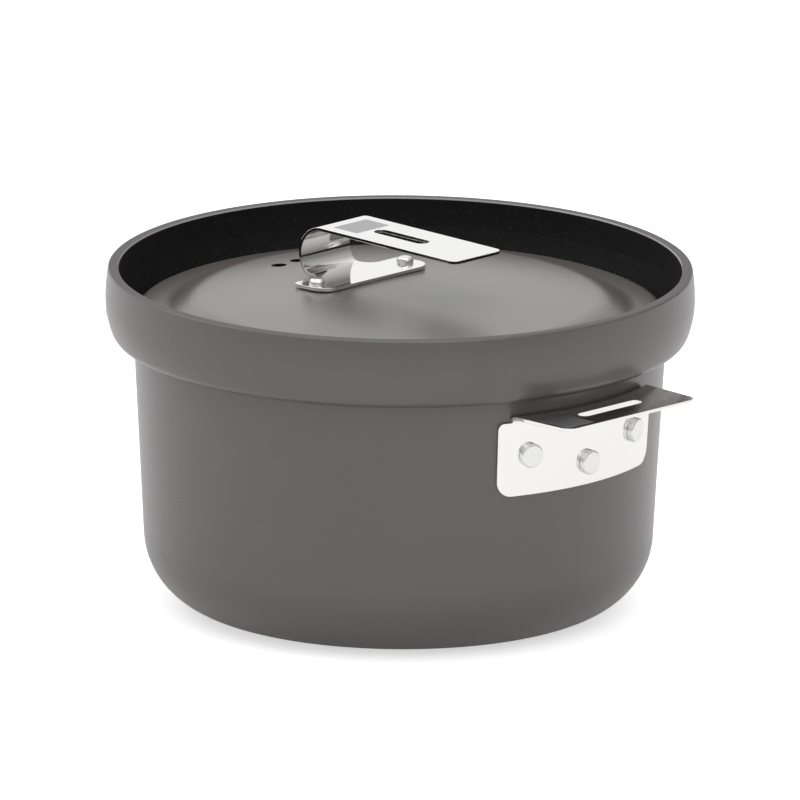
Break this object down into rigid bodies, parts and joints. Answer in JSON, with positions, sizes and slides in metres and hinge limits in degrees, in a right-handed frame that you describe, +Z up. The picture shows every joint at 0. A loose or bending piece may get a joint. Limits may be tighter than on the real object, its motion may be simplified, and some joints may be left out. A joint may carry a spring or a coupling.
{
  "type": "cooking pot",
  "caption": "Camp cooking pot with a bulged rim, a drop-in lid and riveted stainless steel sheet handles.",
  "frame": {"origin": "centre of the base's underside, on the pot's axis", "axes": "+Z up along the pot's axis, +X towards the right handle"},
  "size_m": [0.238, 0.2138, 0.1369],
  "materials": {
    "anodised_aluminium": "hard anodised, matte grey",
    "polished_stainless": "polished stainless sheet",
    "rivet_steel": "satin"
  },
  "bodies": {
    "pot": {"pot_body": "anodised_aluminium", "right_handle": "polished_stainless", "right_handle_rivet_1": "rivet_steel", "right_handle_rivet_2": "rivet_steel", "right_handle_rivet_3": "rivet_steel", "left_handle": "polished_stainless", "left_handle_rivet_1": "rivet_steel", "left_handle_rivet_2": "rivet_steel", "left_handle_rivet_3": "rivet_steel"},
    "lid_set": {"lid": "anodised_aluminium", "lid_handle": "polished_stainless", "lid_rivet_1": "rivet_steel", "lid_rivet_2": "rivet_steel"}
  },
  "joints": [
    {"name": "lid_lift", "type": "slide", "parent": "pot", "child": "lid_set", "axis": [0, 0, 1], "range_m": [0, 0.06]}
  ]
}
